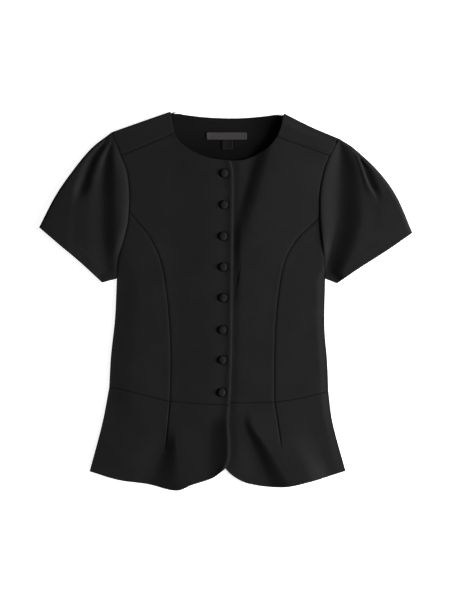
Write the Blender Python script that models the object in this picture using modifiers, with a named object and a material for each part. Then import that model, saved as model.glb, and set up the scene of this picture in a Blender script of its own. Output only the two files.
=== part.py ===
"""Short-sleeved peplum jacket, laid flat with its front up: one named solid for each piece cut or sewn on.

Sizes and places are in millimetres until a mesh is written. +X is the wearer's left, +Y runs from the hem
to the neck and +Z up from the surface. Each panel is the middle surface of its cloth, laid out between the
seam lines below and thickened by Solidify, so panels that share a seam share its points.
"""
import math
from collections import namedtuple

import bmesh
import bpy
from mathutils import Vector

MM = 0.001
WALL = 1.6                       # cloth with its turnings and facing
SEAM = 0.3                       # gap between two pieces that are sewn together
LAYER = WALL + SEAM              # from one layer of cloth to the next one on it
BACK_Z = WALL / 2                # middle of the back, which lies on the surface
SIDE_Z = BACK_Z + LAYER          # middle of the front where it meets the back at the side seams
FRONT_Z = 5.2                    # middle of the front over the body
PEPLUM_Z = 4.2                   # middle of the front peplum at the hem, between its flutes
SIDE_ROLL = 24.0                 # width over which the front rounds down to the side seams
LAP = LAYER + 0.25               # rise of the lapping front over the one below it
LAP_FOOT, LAP_FULL = -40.0, -22.0    # x where the lapping front starts to rise, and lies full height
SLEEVE_FOLD_LOW = 3.7            # middle of a sleeve's upper layer at its underarm fold, least
SLEEVE_FOLD_HIGH = 9.0           # and at its outer fold
SLEEVE_PUFF = 7.5                # further rise between the two folds

LABEL_WALL = 1.0
LABEL = (-31.7, 265.8, 34.7, 277.5)
SIZE_TAB = (-6.1, 249.2, 11.5, 265.4)

BUTTON_RADIUS = 7.2
BUTTON_HEIGHT = 4.8
BUTTON_STEPS = 16
BUTTON_PLACES = ((-2.5, 209.7), (-3.0, 157.9), (-4.3, 106.1), (-4.3, 55.6),
                 (-4.3, 5.1), (-5.6, -48.0), (-5.6, -97.2), (-6.8, -150.8))

FOLD_STEPS = 4                   # facets round a folded edge
CLOTH_BLACK = (0.0137, 0.0134, 0.0132)
LABEL_GREY = (0.045, 0.042, 0.041)

# Stations, the number of steps along each stretch of seam
SHOULDER_STEPS, NECK_STEPS, LAP_STEPS = 4, 9, 13
TIP_STEPS, ARMHOLE_STEPS, SIDE_STEPS = 4, 8, 11
SIDE_WIDTH_STEPS, PEPLUM_STEPS, BACK_SIDE_STEPS, BACK_PEPLUM_STEPS = 6, 10, 5, 3
SLEEVE_STEPS = 14

Fold = namedtuple("Fold", "start bend end rise start_width end_width")
Flute = namedtuple("Flute", "waist_x hem_x rise width")
Side = namedtuple("Side", "name sign laps ridge shoulder armhole_tip armhole armhole_low side princess waist_side "
                          "waist_front edge neck peplum_side peplum_edge hem outer cuff underarm folds flutes")


def ease(t):
    """A soft step from 0 to 1."""
    t = min(max(t, 0.0), 1.0)
    return t * t * (3 - 2 * t)


def mix(a, b, t):
    return a + (b - a) * t


class Line:
    """A smooth line through a short row of points, such as a seam or a hem."""

    def __init__(self, *points):
        self.points = [Vector(p) for p in points]
        self.marks = [0.0]
        for a, b in zip(self.points, self.points[1:]):
            self.marks.append(self.marks[-1] + (b - a).length)

    def slope(self, i):
        """Direction at point i, per millimetre of line."""
        low, high = max(i - 1, 0), min(i + 1, len(self.points) - 1)
        return (self.points[high] - self.points[low]) / (self.marks[high] - self.marks[low])

    def at(self, t):
        """The point at share t of the line's length."""
        reach = t * self.marks[-1]
        i = 0
        while i < len(self.points) - 2 and self.marks[i + 1] < reach:
            i += 1
        step = self.marks[i + 1] - self.marks[i]
        s = (reach - self.marks[i]) / step
        a, b = self.points[i], self.points[i + 1]
        return (a * (1 + 2 * s) * (1 - s) ** 2 + b * s * s * (3 - 2 * s)
                + self.slope(i) * step * s * (1 - s) ** 2 - self.slope(i + 1) * step * s * s * (1 - s))

    def stations(self, steps):
        """Evenly spaced points along the line, both ends among them."""
        return [self.at(k / steps) for k in range(steps + 1)]

    def x_at(self, y):
        """Where a line that runs up or down the body stands at height y."""
        row = sorted(self.stations(24), key=lambda p: p.y)
        if y <= row[0].y:
            return row[0].x
        for a, b in zip(row, row[1:]):
            if y <= b.y:
                return mix(a.x, b.x, (y - a.y) / (b.y - a.y))
        return row[-1].x


def join(*runs):
    """One run of points from several that follow each other."""
    whole = list(runs[0])
    for run in runs[1:]:
        whole += run[1:]
    return whole


RIGHT = Side(
    name="right", sign=-1, laps=1,
    ridge=Line((-187.5, 278.0), (-140.0, 294.8), (-91.2, 311.8)),
    shoulder=Line((-172.8, 239.0), (-128.0, 257.5), (-84.8, 276.3)),
    armhole_tip=Line((-172.8, 239.0), (-187.5, 278.0)),
    armhole=Line((-159.6, 146.0), (-158.9, 175.0), (-162.8, 212.0), (-172.8, 239.0)),
    armhole_low=Line((-179.4, 36.5), (-178.0, 66.0), (-169.0, 97.0), (-161.5, 128.0), (-159.6, 146.0)),
    side=Line((-192.0, -142.5), (-189.0, -90.0), (-182.5, -30.0), (-179.4, 36.5)),
    princess=Line((-92.2, -165.6), (-90.7, -118.0), (-91.5, -55.0), (-98.3, 18.0), (-108.0, 68.0),
                  (-127.0, 107.0), (-159.6, 146.0)),
    waist_side=Line((-192.0, -142.5), (-160.0, -149.0), (-115.0, -160.7), (-92.2, -165.6)),
    waist_front=Line((-92.2, -165.6), (-40.0, -169.5), (6.6, -171.6)),
    edge=Line((6.6, -171.6), (9.8, -95.0), (10.9, 0.0), (12.0, 120.0), (12.2, 210.0), (8.5, 229.8)),
    neck=Line((-84.8, 276.3), (-75.9, 261.7), (-54.8, 246.0), (-28.0, 235.4), (8.5, 229.8)),
    peplum_side=Line((-192.0, -142.5), (-203.0, -200.0), (-224.3, -281.0)),
    peplum_edge=Line((6.6, -171.6), (4.3, -202.0), (6.3, -235.0), (5.3, -260.0), (-1.7, -276.3)),
    hem=Line((-224.3, -281.0), (-178.0, -294.9), (-128.0, -302.0), (-81.2, -312.0), (-54.8, -302.3),
             (-22.0, -291.3), (-1.7, -276.3)),
    outer=Line((-187.5, 278.0), (-221.0, 251.5), (-254.0, 211.7), (-281.0, 172.0), (-307.4, 121.0)),
    cuff=Line((-203.5, 29.8), (-239.4, 63.2), (-275.0, 93.2), (-307.4, 121.0)),
    underarm=Line((-179.4, 36.5), (-203.5, 29.8)),
    folds=(Fold((-172, 232), (-168, 160), (-185, 75), 3.0, 8, 11),
           Fold((-187, 262), (-196, 170), (-193, 60), -3.6, 9, 15),
           Fold((-200, 258), (-213, 205), (-216, 120), 2.6, 8, 16),
           Fold((-197, 262), (-219, 228), (-231, 178), -4.6, 4, 8),
           Fold((-212, 252), (-240, 215), (-250, 160), 2.0, 9, 16)),
    flutes=(Flute(-150, -172, 3.6, 42), Flute(-100, -122, -2.2, 13), Flute(-80, -84, 8.5, 27)))

LEFT = Side(
    name="left", sign=1, laps=0,
    ridge=Line((187.6, 266.8), (140.0, 287.0), (96.5, 308.8)),
    shoulder=Line((170.4, 238.4), (130.0, 253.0), (84.2, 269.3)),
    armhole_tip=Line((170.4, 238.4), (187.6, 266.8)),
    armhole=Line((154.6, 137.0), (154.2, 175.0), (161.0, 213.5), (170.4, 238.4)),
    armhole_low=Line((163.9, 36.5), (162.3, 68.0), (157.6, 108.0), (154.6, 137.0)),
    side=Line((169.2, -149.0), (167.2, -100.0), (162.8, -45.0), (163.9, 36.5)),
    princess=Line((80.2, -167.0), (80.0, -118.0), (81.2, -55.0), (86.0, 5.0), (97.0, 64.0),
                  (118.0, 102.0), (154.6, 137.0)),
    waist_side=Line((169.2, -149.0), (117.2, -161.2), (80.2, -167.0)),
    waist_front=Line((80.2, -167.0), (35.0, -168.0), (-18.0, -167.6)),
    edge=Line((-18.0, -167.6), (-15.0, 0.0), (-15.0, 150.0), (-16.0, 232.6)),
    neck=Line((84.2, 269.3), (71.4, 253.8), (52.0, 240.9), (25.0, 231.2), (-16.0, 232.6)),
    peplum_side=Line((169.2, -149.0), (176.0, -200.0), (197.6, -280.4)),
    peplum_edge=Line((-18.0, -167.6), (-18.0, -205.0), (-17.0, -246.0), (-10.5, -265.5)),
    hem=Line((197.6, -280.4), (143.2, -296.7), (92.0, -307.0), (38.0, -301.2), (11.2, -288.0),
             (-10.5, -265.5)),
    outer=Line((187.6, 266.8), (211.0, 251.3), (252.6, 211.7), (281.0, 172.0), (307.4, 112.0)),
    cuff=Line((183.5, 28.7), (218.8, 53.0), (266.0, 83.2), (307.4, 112.0)),
    underarm=Line((163.9, 36.5), (183.5, 28.7)),
    folds=(Fold((175, 240), (162, 165), (172, 72), 3.0, 8, 11),
           Fold((193, 252), (190, 170), (182, 66), -3.6, 9, 15),
           Fold((209, 250), (224, 216), (240, 182), 2.6, 5, 8),
           Fold((220, 236), (236, 206), (246, 182), -4.4, 5, 9),
           Fold((230, 232), (256, 205), (262, 165), 1.8, 8, 14),
           Fold((212, 200), (222, 150), (236, 96), 1.5, 18, 22)),
    flutes=(Flute(30, 40, 2.6, 28), Flute(28, 102, -3.2, 17), Flute(62, 142, 9.0, 28),
            Flute(140, 186, 1.6, 20)))

NECK_BACK = Line((-91.2, 311.8), (-68.0, 306.7), (-28.0, 302.2), (17.0, 300.9), (57.0, 303.4), (96.5, 308.8))
BACK_WAIST = Line((-191.7, -142.8), (-100.0, -162.0), (0.0, -168.0), (90.0, -164.0), (168.9, -149.3))
BACK_HEM = Line((-222.0, -277.0), (-110.0, -273.0), (0.0, -268.0), (110.0, -272.0), (195.5, -276.5))
FRONT_FOLDS = (Fold((52, 240), (52, 190), (18, 118), -1.1, 9, 10),
               Fold((80, 248), (74, 180), (40, 110), 1.0, 10, 13))


def distance_along(p, a, b):
    """How far p lies from the stretch a-b, and at which share of it."""
    run = b - a
    t = min(max((p - a).dot(run) / run.length_squared, 0.0), 1.0)
    return (p - a - run * t).length, t


def fold_height(p, fold):
    """Rise of a fold at p: a soft ridge or trough that fades out towards its ends."""
    start, bend, end = Vector(fold.start), Vector(fold.bend), Vector(fold.end)
    near = min((distance_along(p, start, bend) + (0.0,), distance_along(p, bend, end) + (1.0,)),
               key=lambda found: found[0])
    share = (near[1] + near[2]) / 2
    width = mix(fold.start_width, fold.end_width, share)
    return fold.rise * math.exp(-(near[0] / width) ** 2) * math.sin(math.pi * mix(0.12, 0.92, share))


def on_body(p):
    """How far the front has risen from the side seams at p, 0 to 1."""
    inside = min(p.x - RIGHT.side.x_at(p.y), LEFT.side.x_at(p.y) - p.x)
    return ease(inside / SIDE_ROLL)


def clear_of_lap(p):
    """0 where the two fronts lie on each other, 1 clear of there."""
    return ease((abs(p.x + 3) - 20) / 30)


def bodice_height(p):
    """Middle of the front's cloth above the surface, before the lap."""
    folds = sum(fold_height(p, fold) for fold in FRONT_FOLDS)
    return mix(SIDE_Z, FRONT_Z + folds * clear_of_lap(p), on_body(p))


def peplum_height(p, side):
    """Middle of a front peplum's cloth: flat at the waist seam, fluted towards the hem."""
    waist = -142.5 - 27 * math.cos(math.pi / 2 * min(abs(p.x) / 192, 1))
    down = min(max((waist - p.y) / 132, 0.0), 1.0)
    inside = (p.x - RIGHT.peplum_side.x_at(p.y)) if side is RIGHT else (LEFT.peplum_side.x_at(p.y) - p.x)
    flutes = 0.0
    for flute in side.flutes:
        middle = mix(flute.waist_x, flute.hem_x, down)
        flutes += flute.rise * math.exp(-((p.x - middle) / (flute.width * mix(0.7, 1.0, down))) ** 2)
    full = mix(FRONT_Z, PEPLUM_Z, down) + flutes * ease(down) * clear_of_lap(p)
    above = full - SIDE_Z
    above = (above + math.hypot(above, 0.8)) / 2
    return SIDE_Z + above * ease(inside / SIDE_ROLL)


def lap_rise(p):
    """Rise of the lapping front above the one below it."""
    return LAP * ease((p.x - LAP_FOOT) / (LAP_FULL - LAP_FOOT))


def patch(bottom, top, left, right):
    """Rows of points that fill the space between four runs of points (a Coons patch)."""
    across, up = len(bottom) - 1, len(left) - 1
    rows = []
    for j in range(up + 1):
        v = j / up
        row = []
        for i in range(across + 1):
            u = i / across
            ruled = bottom[i] * (1 - v) + top[i] * v + left[j] * (1 - u) + right[j] * u
            corners = ((bottom[0] * (1 - u) + bottom[-1] * u) * (1 - v)
                       + (top[0] * (1 - u) + top[-1] * u) * v)
            row.append(ruled - corners)
        rows.append(row)
    return rows


def drawn_in(edge, inner, gap):
    """A run of edge points moved by the gap towards the next run inside it."""
    moved = []
    for k, p in enumerate(edge):
        run = edge[min(k + 1, len(edge) - 1)] - edge[max(k - 1, 0)]
        across = Vector((-run.y, run.x))
        if across.length < 1e-6 or (inner[k] - p).length < 1e-6:
            moved.append(p)
            continue
        across.normalize()
        moved.append(p + across * (gap if across.dot(inner[k] - p) > 0 else -gap))
    return moved


def inset(rows, bottom=SEAM / 2, top=SEAM / 2, left=SEAM / 2, right=SEAM / 2):
    """The rows of a panel, each side of it drawn in to leave its share of the seam gap."""
    if bottom:
        rows[0] = drawn_in(rows[0], rows[1], bottom)
    if top:
        rows[-1] = drawn_in(rows[-1], rows[-2], top)
    for column, next_column, gap in ((0, 1, left), (-1, -2, right)):
        if gap:
            edge = drawn_in([row[column] for row in rows], [row[next_column] for row in rows], gap)
            for row, p in zip(rows, edge):
                row[column] = p
    return rows


def raised(rows, height):
    """The rows of a panel at the height that a function gives for each place."""
    return [[Vector((p.x, p.y, height(p))) for p in row] for row in rows]


def add_sheet(bm, rows):
    """A grid in the mesh with its points moved to the rows."""
    across, up = len(rows[0]) - 1, len(rows) - 1
    made = bmesh.ops.create_grid(bm, x_segments=across, y_segments=up, size=1.0)
    for vert in made["verts"]:
        i = round((vert.co.x + 1) / 2 * across)
        j = round((vert.co.y + 1) / 2 * up)
        vert.co = rows[j][i] * MM


def finish(name, fill, wall, material, collection):
    """An object from a middle surface: fill draws it in a mesh, and Solidify gives the cloth its wall."""
    bm = bmesh.new()
    fill(bm)
    bmesh.ops.remove_doubles(bm, verts=bm.verts, dist=0.00002)
    bmesh.ops.dissolve_degenerate(bm, dist=0.00001, edges=bm.edges)
    bmesh.ops.recalc_face_normals(bm, faces=bm.faces)
    mesh = bpy.data.meshes.new(name)
    bm.to_mesh(mesh)
    bm.free()
    mesh.shade_smooth()
    mesh.materials.append(material)
    obj = bpy.data.objects.new(name, mesh)
    collection.objects.link(obj)
    solid = obj.modifiers.new("Wall", "SOLIDIFY")
    solid.thickness = wall * MM
    solid.offset = 0.0
    solid.use_even_offset = True
    return obj


def cloth_material(name, colour, roughness):
    material = bpy.data.materials.new(name)
    material.use_nodes = True
    shader = material.node_tree.nodes["Principled BSDF"]
    shader.inputs["Base Color"].default_value = (*colour, 1.0)
    shader.inputs["Roughness"].default_value = roughness
    shader.inputs["Metallic"].default_value = 0.0
    return material


def piece(name, sheets, collection, wall=WALL, colour=CLOTH_BLACK):
    def fill(bm):
        for rows in sheets:
            add_sheet(bm, rows)
    return finish(name, fill, wall, cloth_material(name, colour, 0.85), collection)


def front_center(side, collection):
    """Centre front: princess and armhole on its outer side, the front edge, neckline and shoulder seam."""
    outer = join(side.princess.stations(SIDE_STEPS + ARMHOLE_STEPS), side.armhole.stations(ARMHOLE_STEPS))
    edge = side.edge.stations(SIDE_STEPS + 2 * ARMHOLE_STEPS)
    top = join(side.shoulder.stations(SHOULDER_STEPS), side.neck.stations(NECK_STEPS))
    bottom = side.waist_front.stations(LAP_STEPS)
    rows = inset(patch(bottom, top, outer, edge), right=0)
    sheet = raised(rows, lambda p: bodice_height(p) + side.laps * lap_rise(p))
    return piece("front_center_" + side.name, [sheet], collection)


def front_side(side, collection):
    """Side front: a strip between the side seam with the lower armhole and the princess seam."""
    outer = join(side.side.stations(SIDE_STEPS), side.armhole_low.stations(ARMHOLE_STEPS))
    inner = side.princess.stations(SIDE_STEPS + ARMHOLE_STEPS)
    bottom = side.waist_side.stations(SIDE_WIDTH_STEPS)
    top = [inner[-1].copy() for _ in bottom]
    rows = inset(patch(bottom, top, outer, inner), top=0)
    below = (rows[-2][0] + rows[-2][-1]) / 2
    tip = inner[-1] + (below - inner[-1]).normalized() * 1.6
    rows[-1] = [tip.copy() for _ in rows[-1]]
    return piece("front_side_" + side.name, [raised(rows, bodice_height)], collection)


def front_peplum(side, collection):
    """Front peplum: from the waist seam down to the hem, with its rounded front corner."""
    top = join(side.waist_side.stations(SIDE_WIDTH_STEPS), side.waist_front.stations(LAP_STEPS))
    bottom = side.hem.stations(SIDE_WIDTH_STEPS + LAP_STEPS)
    outer = list(reversed(side.peplum_side.stations(PEPLUM_STEPS)))
    edge = list(reversed(side.peplum_edge.stations(PEPLUM_STEPS)))
    rows = inset(patch(bottom, top, outer, edge), bottom=0, left=0, right=0)
    sheet = raised(rows, lambda p: peplum_height(p, side) + side.laps * lap_rise(p))
    return piece("front_peplum_" + side.name, [sheet], collection)


def ridge_ways(side, points):
    """The way inwards from each point of a shoulder ridge; the outermost follows the armhole."""
    ways = []
    for k in range(len(points)):
        run = points[min(k + 1, len(points) - 1)] - points[max(k - 1, 0)]
        way = Vector((run.y, -run.x)).normalized()
        ways.append(way if way.y < 0 else -way)
    armhole_way = (side.armhole_tip.at(0.8) - side.armhole_tip.at(1.0)).normalized()
    ways[0] = armhole_way / armhole_way.dot(ways[0])
    return ways


def folded_over(side, low, high):
    """The cloth that turns over a ridge from the lower layer to the upper one, as rows across the turn."""
    radius = (high - low) / 2
    points = side.ridge.stations(SHOULDER_STEPS)
    ways = ridge_ways(side, points)
    rows = []
    for k in range(FOLD_STEPS + 1):
        angle = math.pi * (k / FOLD_STEPS - 0.5)
        back = WALL / 2 + radius * (1 - math.cos(angle))
        height = low + radius * (1 + math.sin(angle))
        rows.append([Vector((*(p + way * back), height)) for p, way in zip(points, ways)])
    return rows


def back_bodice(collection):
    """Back: flat on the surface, turned over both shoulder ridges and down to the forward seams."""
    sides, turns, flaps = {}, {}, {}
    for side in (RIGHT, LEFT):
        sides[side.name] = join(side.side.stations(BACK_SIDE_STEPS), side.armhole_low.stations(ARMHOLE_STEPS),
                                side.armhole.stations(ARMHOLE_STEPS), side.armhole_tip.stations(TIP_STEPS))
        turns[side.name] = folded_over(side, BACK_Z, FRONT_Z)
    ridge_right = [p.to_2d() for p in turns["right"][0]]
    ridge_left = [p.to_2d() for p in reversed(turns["left"][0])]
    neck = NECK_BACK.stations(NECK_STEPS + SHOULDER_STEPS)
    neck[0], neck[-1] = ridge_right[-1], ridge_left[0]
    top = join(ridge_right, neck, ridge_left)
    for name, end in (("right", top[0]), ("left", top[-1])):
        sides[name][-1] = end
    bottom = BACK_WAIST.stations(len(top) - 1)
    sides["right"][0], sides["left"][0] = bottom[0], bottom[-1]
    rows = inset(patch(bottom, top, sides["right"], sides["left"]), top=0)
    rows[-1][0], rows[-1][-1] = top[0] + Vector((SEAM / 2, 0)), top[-1] - Vector((SEAM / 2, 0))
    sheets = [raised(rows, lambda p: BACK_Z)]
    for side in (RIGHT, LEFT):
        turn = turns[side.name]
        for row in turn:
            row[0].x -= side.sign * SEAM / 2
        over = [p.to_2d() for p in turn[-1]]
        seam = side.shoulder.stations(SHOULDER_STEPS)
        outer = [p.copy() for p in side.armhole_tip.stations(TIP_STEPS)]
        outer[-1] = over[0]
        neck_end = Line(seam[-1], (over[-1] + seam[-1]) / 2 - Vector((side.sign * -1.2, 0)), over[-1])
        flap = inset(patch(seam, over, outer, neck_end.stations(TIP_STEPS)), top=0, right=0)
        flap[-1] = over
        flaps[side.name] = raised(flap, lambda p: FRONT_Z)
        sheets += [turn, flaps[side.name]]
    return piece("back_bodice", sheets, collection)


def back_peplum(collection):
    """Back peplum: flat on the surface, just short of the front's hem."""
    steps = SIDE_WIDTH_STEPS + LAP_STEPS
    top, bottom = BACK_WAIST.stations(steps), BACK_HEM.stations(steps)
    outer = Line(bottom[0], (-202.6, -200.0), top[0]).stations(BACK_PEPLUM_STEPS)
    inner = Line(bottom[-1], (175.6, -200.0), top[-1]).stations(BACK_PEPLUM_STEPS)
    rows = inset(patch(bottom, top, outer, inner), bottom=0, left=0, right=0)
    return piece("back_peplum", [raised(rows, lambda p: BACK_Z)], collection)


def along(row, reach):
    """The point at a given distance along a row of points."""
    for a, b in zip(row, row[1:]):
        step = (b - a).length
        if reach <= step:
            return a + (b - a) * (reach / step)
        reach -= step
    return row[-1]


def sleeve_height(p, u, v, side):
    """Middle of the sleeve's upper layer: level with the front at the armhole, puffed below its head."""
    seam = max(bodice_height(p), SLEEVE_FOLD_LOW)
    puff = mix(SLEEVE_FOLD_LOW + 1.4, SLEEVE_FOLD_HIGH, u) + SLEEVE_PUFF * math.sin(math.pi * u) ** 0.8
    away = ease(v / 0.34)
    cuff = mix(1.0, 0.72, ease((v - 0.4) / 0.6))
    folds = sum(fold_height(p, fold) for fold in side.folds) * ease(v / 0.1)
    room = math.sin(math.pi * min(max(u, 0.0), 1.0)) ** 0.5
    return mix(seam, puff * cuff, away) + folds * room * cuff


def sleeve(side, collection):
    """Sleeve: a tube between the armhole and the cuff, its lower layer flat on the surface."""
    armhole = join(side.armhole_low.stations(ARMHOLE_STEPS), side.armhole.stations(ARMHOLE_STEPS),
                   side.armhole_tip.stations(TIP_STEPS))
    steps = len(armhole) - 1
    rows = patch(armhole, side.cuff.stations(steps), side.underarm.stations(SLEEVE_STEPS),
                 side.outer.stations(SLEEVE_STEPS))
    rows = inset(rows, bottom=SEAM, top=0, left=0, right=0)
    rings = []
    for j, row in enumerate(rows):
        v = j / SLEEVE_STEPS
        back_row = list(reversed(row))
        ring = []
        for run, u_end in ((row, 0.0), (back_row, 1.0)):
            height = sleeve_height(run[0], u_end, v, side)
            half = (height - BACK_Z) / 2
            reach = 1.2 * half + 0.5
            turn = []
            for k in range(FOLD_STEPS + 1):
                angle = math.pi * (k / FOLD_STEPS - 0.5)
                place = along(run, WALL / 2 + reach * (1 - math.cos(angle)))
                turn.append(Vector((*place, BACK_Z + half * (1 + math.sin(angle)))))
            if u_end == 0.0:
                upper = [Vector((*p, sleeve_height(p, (i + 1) / steps, v, side)))
                         for i, p in enumerate(row[1:-1])]
                ring += turn + upper
            else:
                lower = [Vector((*p, BACK_Z)) for p in back_row[1:-1]]
                ring += list(reversed(turn)) + lower
        ring.append(ring[0].copy())
        rings.append(ring)
    return piece("sleeve_" + side.name, [rings], collection)


def flat_label(name, box, collection):
    """A woven label laid on the inside of the back."""
    x0, y0, x1, y1 = box
    height = WALL + SEAM + LABEL_WALL / 2
    rows = [[Vector((mix(x0, x1, i / 4), y, height)) for i in range(5)] for y in (y0, y1)]
    return piece(name, [rows], collection, wall=LABEL_WALL, colour=LABEL_GREY)


def button(number, place, collection):
    """A cloth-covered dome, turned from its profile, resting on the lapping front."""
    x, y = place
    spot = Vector(place)
    base = bodice_height(spot) + lap_rise(spot) + WALL / 2 + SEAM
    r, h = BUTTON_RADIUS, BUTTON_HEIGHT
    profile = ((0.0, h), (0.45 * r, 0.93 * h), (0.8 * r, 0.68 * h), (r, 0.3 * h), (0.93 * r, 0.0), (0.0, 0.0))
    bm = bmesh.new()
    verts = [bm.verts.new((px * MM, 0, pz * MM)) for px, pz in profile]
    for a, b in zip(verts, verts[1:]):
        bm.edges.new((a, b))
    mesh = bpy.data.meshes.new("button_%d" % number)
    bm.to_mesh(mesh)
    bm.free()
    mesh.materials.append(cloth_material("button_%d" % number, CLOTH_BLACK, 0.8))
    obj = bpy.data.objects.new("button_%d" % number, mesh)
    obj.location = Vector((x, y, base)) * MM
    collection.objects.link(obj)
    turned = obj.modifiers.new("Turned", "SCREW")
    turned.steps = BUTTON_STEPS
    turned.render_steps = BUTTON_STEPS
    turned.use_merge_vertices = True
    turned.merge_threshold = 0.00005
    return obj


def main():
    for obj in list(bpy.data.objects):
        bpy.data.objects.remove(obj, do_unlink=True)
    collection = bpy.data.collections.new("peplum_jacket")
    bpy.context.scene.collection.children.link(collection)
    back_bodice(collection)
    back_peplum(collection)
    for side in (RIGHT, LEFT):
        front_center(side, collection)
        front_side(side, collection)
        front_peplum(side, collection)
        sleeve(side, collection)
    for number, place in enumerate(BUTTON_PLACES, start=1):
        button(number, place, collection)
    flat_label("neck_label", LABEL, collection)
    flat_label("size_tab", SIZE_TAB, collection)


main()
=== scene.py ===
"""Short-sleeved black peplum jacket, laid flat with its front up: its finished cloth, buttons and labels.

Places and sizes are in millimetres until a mesh is written. +X is the wearer's left, +Y runs from the hem
to the neck and +Z up from the surface.
"""
import math
from collections import namedtuple

import bmesh
import bpy
import numpy as np
from bpy.props import FloatProperty, FloatVectorProperty, IntProperty, PointerProperty
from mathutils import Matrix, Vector


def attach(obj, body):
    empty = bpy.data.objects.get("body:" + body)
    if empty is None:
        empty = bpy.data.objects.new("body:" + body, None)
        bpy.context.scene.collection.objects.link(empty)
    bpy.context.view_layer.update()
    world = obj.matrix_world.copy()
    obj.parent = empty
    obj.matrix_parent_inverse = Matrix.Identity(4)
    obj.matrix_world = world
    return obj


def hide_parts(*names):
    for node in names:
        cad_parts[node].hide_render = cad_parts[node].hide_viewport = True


bl_info = {
    "name": "Peplum Jacket",
    "version": (1, 0, 0),
    "blender": (4, 5, 0),
    "location": "View3D > Sidebar > Jacket",
    "description": "A short-sleeved black peplum jacket, laid flat with its front up",
    "category": "Object",
}

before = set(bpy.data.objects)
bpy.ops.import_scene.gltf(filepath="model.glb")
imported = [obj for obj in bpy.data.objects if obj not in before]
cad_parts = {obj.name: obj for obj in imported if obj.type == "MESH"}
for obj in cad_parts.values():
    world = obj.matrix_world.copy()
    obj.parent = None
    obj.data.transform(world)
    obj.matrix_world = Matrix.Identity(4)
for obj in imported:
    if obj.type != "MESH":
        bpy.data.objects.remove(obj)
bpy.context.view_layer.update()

MM = 0.001
WALL = 1.6                       # cloth with its turnings and facing
SEAM = 0.3                       # gap between two pieces that are sewn together
LAYER = WALL + SEAM
SEWN = -0.08                     # how far a panel is drawn in at a sewn side: it meets the next one
BACK_Z = WALL / 2                # middle of the back's cloth, which lies on the surface
SIDE_Z = BACK_Z + LAYER          # middle of the front where it meets the back at the side seams
FRONT_Z = 5.2                    # middle of the front over the body
SIDE_ROLL, LEFT_ROLL = 40.0, 15.0   # width over which the front rounds down to its two side seams
HEM_ROLL = 75.0                  # the same width at the right hem
LAP = LAYER + 0.25               # rise of the lapping front over the one below it
LAP_FOOT, LAP_FULL = -95.0, -20.0   # where the lapping front starts to rise, and where it has risen
SLEEVE_FOLD_LOW = 3.7            # top of the sleeve at its underarm fold
UNDERARM_Y = 36.5
LABEL = (-31.7, 265.8, 34.7, 277.5)       # two opposite corners of each tape
SIZE_TAB = (-6.1, 249.2, 11.5, 265.4)
BUTTON_PLACES = ((-2.5, 209.7), (-3.0, 157.9), (-4.3, 106.1), (-4.3, 55.6),
                 (-4.3, 5.1), (-5.6, -48.0), (-5.6, -97.2), (-6.8, -150.8))

BUTTON_SHADOW_RADIUS = 7.6                # radius of the painted shadow ring on the cloth round each button
BUTTON_SIDES, GATHERS = 72, 26   # facets and folds round a covered button
TAPE_Z, TAPE_WALL, TAPE_CELL = 2.15, 0.7, 0.8   # middle height, thickness and mesh cell of both tapes
STITCH_Z, STITCH_LENGTH, STITCH_WIDTH = 2.62, 1.7, 0.42

FOLD_STEPS, DART_STEPS, SHADE_STEPS = 16, 24, 96   # steps in which each such line is followed
TURN_STEPS = 10                  # facets round a folded edge
ROW_POINTS = 241                 # points by which a row of a sleeve is measured
MERGE, SLIVER = 0.02, 0.01       # points closer than the one are joined, faces finer than the other dropped
CORNER = math.radians(62)        # a sharper edge is rounded
GRAIN_MAP = "Grain"
SEAM_SHADE_MAP = "Seams"               # how far the nearest seam or button ring is, by which the cloth gets painted shade, and how much of a facing and its painted shadow the place has
SEAM_REACH = 40.0                # the furthest that the map shows
SEAM_SHADE_FULL, SEAM_SHADE_GONE = 0.3, 1.5    # painted seam shade is full up to the one and gone at the other

FLOOR_RADIUS, RIM_HEIGHT, FLOOR_DROP = 12.0, 3.0, 0.0002   # these and the next two are in metres
KEY_SIZE, KEY_DISTANCE = (1.5, 1.1), 2.6
CAMERA_X, CAMERA_Y = -0.0012, 0.0013

Fold = namedtuple("Fold", "points rise west east")


def ease(t):
    """A soft step from 0 to 1."""
    t = np.clip(t, 0.0, 1.0)
    return t * t * (3 - 2 * t)


def mix(a, b, t):
    """From a to b by a share."""
    return a + (b - a) * t


def bell(distance, width):
    """A soft bump, 1 at no distance."""
    return np.exp(-(distance / width) ** 2)


def reach_along(points):
    """How far along a row of points each of them lies."""
    return np.concatenate(([0.0], np.cumsum(np.hypot(*np.diff(points, axis=0).T))))


class Line:
    """A smooth line through a short row of points, such as a seam or a hem."""

    stops = (0.0, 1.0)

    def __init__(self, *points):
        self.points = np.array(points, float)
        self.marks = reach_along(self.points)
        self.length = self.marks[-1]
        index = np.arange(len(self.points))
        low, high = np.maximum(index - 1, 0), np.minimum(index + 1, len(index) - 1)
        run = self.points[high] - self.points[low]
        self.slopes = run / (self.marks[high] - self.marks[low])[:, None]

    def at(self, shares):
        """The points at shares of the line's length."""
        reach = np.asarray(shares, float) * self.length
        i = np.clip(np.searchsorted(self.marks[1:], reach), 0, len(self.points) - 2)
        step = (self.marks[i + 1] - self.marks[i])[:, None]
        s = (reach - self.marks[i])[:, None] / step
        a, b = self.points[i], self.points[i + 1]
        return (a * (1 + 2 * s) * (1 - s) ** 2 + b * s * s * (3 - 2 * s)
                + self.slopes[i] * step * s * (1 - s) ** 2 - self.slopes[i + 1] * step * s * s * (1 - s))

    def x_at(self, y):
        """Where a line that runs up or down the body stands at height y."""
        row = self.at(np.linspace(0, 1, 161))
        row = row[np.argsort(row[:, 1])]
        return np.interp(y, row[:, 1], row[:, 0])

    def back(self):
        """The line from its other end."""
        return Line(*self.points[::-1])

    def part(self, low, high):
        """The stretch of the line between two shares of it."""
        return Line(*self.at(np.linspace(low, high, 33)))


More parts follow.
